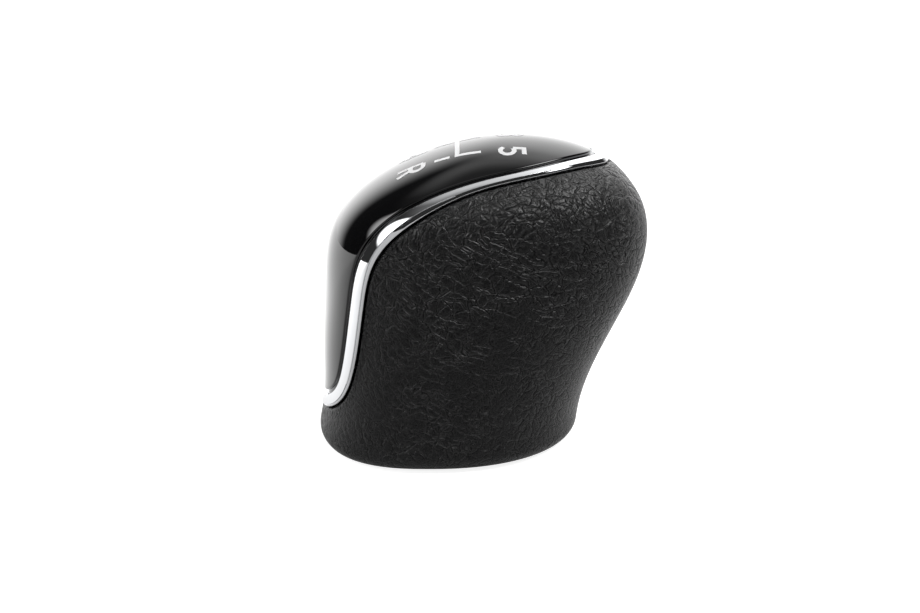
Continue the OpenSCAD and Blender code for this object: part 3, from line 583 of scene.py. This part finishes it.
strokes = []
for numeral, x0, y0 in (("1", 12.7, COLUMN), ("3", 12.7, 0), ("5", 12.7, -COLUMN), ("2", -7.7, COLUMN),
                        ("4", -7.7, 0), ("R", -7.7, -COLUMN)):
    for stroke in GLYPHS[numeral]:
        p = (np.asarray(stroke, float) - (2.0, 3.05)) * NUMERAL
        strokes.append(np.stack([x0 + p[:, 1], y0 - p[:, 0]], -1))
strokes += [np.array(line, float) for line in (
    [(6.6, COLUMN), (-3.0, COLUMN)], [(6.6, 0), (-3.0, 0)], [(6.6, -COLUMN), (1.8, -COLUMN), (1.8, COLUMN)],
    [(0.3, -COLUMN), (-2.8, -COLUMN)])]
ink_points, ink_quads, count = [], [], 0
for number, line in enumerate(strokes):
    strip = on_dome(ribbon(line, INK_W), INK_SUNK + 0.001 * (number % 5))
    n = len(strip)
    i, j = np.meshgrid(np.arange(n - 1), np.arange(4), indexing="ij")
    quads = np.stack([i * 5 + j, (i + 1) * 5 + j, (i + 1) * 5 + j + 1, i * 5 + j + 1], -1).reshape(-1, 4)
    ink_points.append(strip.reshape(-1, 3))
    ink_quads.append(quads + count)
    count += n * 5
ink = face_mesh("shift_pattern_print", np.concatenate(ink_points), np.concatenate(ink_quads))
# Pad-printed ink, off-white under a matt clear
print_ink = finish_named("pad_printed_white_ink", "#d4d4d5", 0.5)[0]
ink.data.materials.append(print_ink)


# Studio: the knob stands on a white laminate table inside a light tent. Behind it glows the tent's cloth,
# over it the ceiling is dark, and three round soft lamps shine in: from the left, the right and above.
tent = bpy.data.worlds.new("light_tent")
tent.use_nodes = True
bpy.context.scene.world = tent
tree = tent.node_tree
tree.nodes.clear()
way = add(tree, "ShaderNodeTexCoord").outputs["Generated"]
xyz = add(tree, "ShaderNodeSeparateXYZ", {"Vector": way}).outputs
behind = add(tree, "ShaderNodeMath", {0: xyz["Y"], 1: 0.02}, operation="MAXIMUM").outputs[0]
across = add(tree, "ShaderNodeMath", {0: xyz["X"], 1: behind}, operation="DIVIDE").outputs[0]
above = add(tree, "ShaderNodeMath", {0: xyz["Z"], 1: behind}, operation="DIVIDE").outputs[0]
# The cloth behind the table is drawn on the plane y = 1 and fades along a slant to the left and the top
slant = add(tree, "ShaderNodeMath", {0: across, 1: -0.83, 2: above}, operation="MULTIPLY_ADD").outputs[0]
cloth = add(tree, "ShaderNodeMapRange", {"Value": slant, "From Min": 1.75, "From Max": 0.6, "To Max": 2.3},
            interpolation_type="SMOOTHSTEP").outputs["Result"]
right_edge = add(tree, "ShaderNodeMapRange", {"Value": across, "From Min": 1.1, "From Max": 0.3},
                 interpolation_type="SMOOTHSTEP").outputs["Result"]
# Over it hangs a dim strip of cloth, brighter to the right, and the ceiling has a faint glow
strip_low = add(tree, "ShaderNodeMapRange", {"Value": xyz["Z"], "From Min": 0.76, "From Max": 0.86,
                                             "To Max": 0.75},
                interpolation_type="SMOOTHSTEP").outputs["Result"]
strip_high = add(tree, "ShaderNodeMapRange", {"Value": xyz["Z"], "From Min": 0.95, "From Max": 0.87},
                 interpolation_type="SMOOTHSTEP").outputs["Result"]
strip_left = add(tree, "ShaderNodeMapRange", {"Value": across, "From Min": -1.9, "From Max": 0.2},
                 interpolation_type="SMOOTHSTEP").outputs["Result"]
ceiling = add(tree, "ShaderNodeMapRange", {"Value": xyz["Z"], "From Min": 0.7, "From Max": 1.0,
                                           "To Min": 0.035, "To Max": 0.235},
              interpolation_type="SMOOTHSTEP").outputs["Result"]
rear_half = add(tree, "ShaderNodeMapRange", {"Value": xyz["Y"], "From Max": 0.25},
                interpolation_type="SMOOTHSTEP").outputs["Result"]
strip = add(tree, "ShaderNodeMath", {0: strip_low, 1: strip_high}, operation="MULTIPLY").outputs[0]
cloth = add(tree, "ShaderNodeMath", {0: cloth, 1: right_edge}, operation="MULTIPLY").outputs[0]
glowing = add(tree, "ShaderNodeMath", {0: strip, 1: strip_left, 2: cloth},
              operation="MULTIPLY_ADD").outputs[0]
tent_glow = add(tree, "ShaderNodeMath", {0: glowing, 1: rear_half, 2: ceiling},
                operation="MULTIPLY_ADD").outputs[0]
# Round soft lamps: azimuth from +Y towards +X, elevation, radius of the even disc and of its soft edge in
# degrees, and glow
for azimuth, elevation, even, edge, level in ((-104, 32, 12, 22, 6.0), (104, 55, 9, 19, 12.0),
                                              (180, 66, 12, 26, 0.6)):
    turned, raised = np.radians([azimuth, elevation])
    towards = (np.cos(raised) * np.sin(turned), np.cos(raised) * np.cos(turned), np.sin(raised))
    near = add(tree, "ShaderNodeVectorMath", {0: way, 1: towards}, operation="DOT_PRODUCT").outputs["Value"]
    disc = add(tree, "ShaderNodeMapRange", {"Value": near, "From Min": np.cos(np.radians(edge)),
                                            "From Max": np.cos(np.radians(even)), "To Max": level},
               interpolation_type="SMOOTHSTEP").outputs["Result"]
    tent_glow = add(tree, "ShaderNodeMath", {0: tent_glow, 1: disc}, operation="ADD").outputs[0]
to_camera = add(tree, "ShaderNodeLightPath").outputs["Is Camera Ray"]
glow = add(tree, "ShaderNodeBackground", {"Color": (1, 1, 1, 1), "Strength": tent_glow}).outputs[0]
white = add(tree, "ShaderNodeBackground", {"Color": (1, 1, 1, 1), "Strength": 1.0}).outputs[0]
seen = add(tree, "ShaderNodeMixShader", {"Fac": to_camera, 1: glow, 2: white}).outputs[0]
add(tree, "ShaderNodeOutputWorld", {"Surface": seen})

table_z = -0.00005
corners = [(-5, -5, table_z), (5, -5, table_z), (5, 5, table_z), (-5, 5, table_z)]
table_mesh = bpy.data.meshes.new("table_top")
table_mesh.from_pydata(corners, [], [(0, 1, 2, 3)])
table = bpy.data.objects.new("table_top", table_mesh)
bpy.context.scene.collection.objects.link(table)
# White laminate: a matt white that takes the knob's shadow. The camera and the shiny parts see it bright, the
# shiny parts more so behind the knob than in front of it or to its right
laminate = bpy.data.materials.new("white_laminate")
laminate.use_nodes = True
tree = laminate.node_tree
tree.nodes.clear()
path = add(tree, "ShaderNodeLightPath").outputs
shine = add(tree, "ShaderNodeMath", {0: path["Is Glossy Ray"], 1: path["Is Transmission Ray"]},
            operation="ADD", use_clamp=True).outputs[0]
on_table = add(tree, "ShaderNodeTexCoord").outputs["Object"]
table_xyz = add(tree, "ShaderNodeSeparateXYZ", {"Vector": on_table}).outputs
lit = add(tree, "ShaderNodeMapRange", {"Value": table_xyz["Y"], "From Min": -0.04, "From Max": 0.08,
                                       "To Min": 0.10, "To Max": 1.5}).outputs["Result"]
dimmed = add(tree, "ShaderNodeMapRange", {"Value": table_xyz["X"], "From Min": 0.03, "From Max": 0.10,
                                          "To Min": 1.0, "To Max": 0.35}).outputs["Result"]
lit = add(tree, "ShaderNodeMath", {0: lit, 1: dimmed}, operation="MULTIPLY").outputs[0]
shine = add(tree, "ShaderNodeMath", {0: shine, 1: lit}, operation="MULTIPLY").outputs[0]
level = add(tree, "ShaderNodeMath", {0: path["Is Camera Ray"], 1: 0.88, 2: shine},
            operation="MULTIPLY_ADD").outputs[0]
matt = add(tree, "ShaderNodeBsdfDiffuse", {"Color": linear("#b0b0b0")}).outputs[0]
bright = add(tree, "ShaderNodeEmission", {"Color": (1, 1, 1, 1), "Strength": level}).outputs[0]
both = add(tree, "ShaderNodeAddShader", {0: matt, 1: bright}).outputs[0]
add(tree, "ShaderNodeOutputMaterial", {"Surface": both})
table_mesh.materials.append(laminate)

lens = bpy.data.cameras.new("camera")
lens.sensor_width = 36.0
lens.lens = 1139.5 / 920 * 36
lens.clip_start = 0.01
camera = bpy.data.objects.new("camera", lens)
aim, tilt, reach = np.array([2.39, 0, 28.17]) * MM, np.radians(17.5), 0.25
camera.location = aim + reach * np.array([0, -np.cos(tilt), np.sin(tilt)])
camera.rotation_euler = (np.pi / 2 - tilt, 0, 0)
bpy.context.scene.collection.objects.link(camera)
bpy.context.scene.camera = camera
bpy.context.scene.view_settings.view_transform = "Standard"
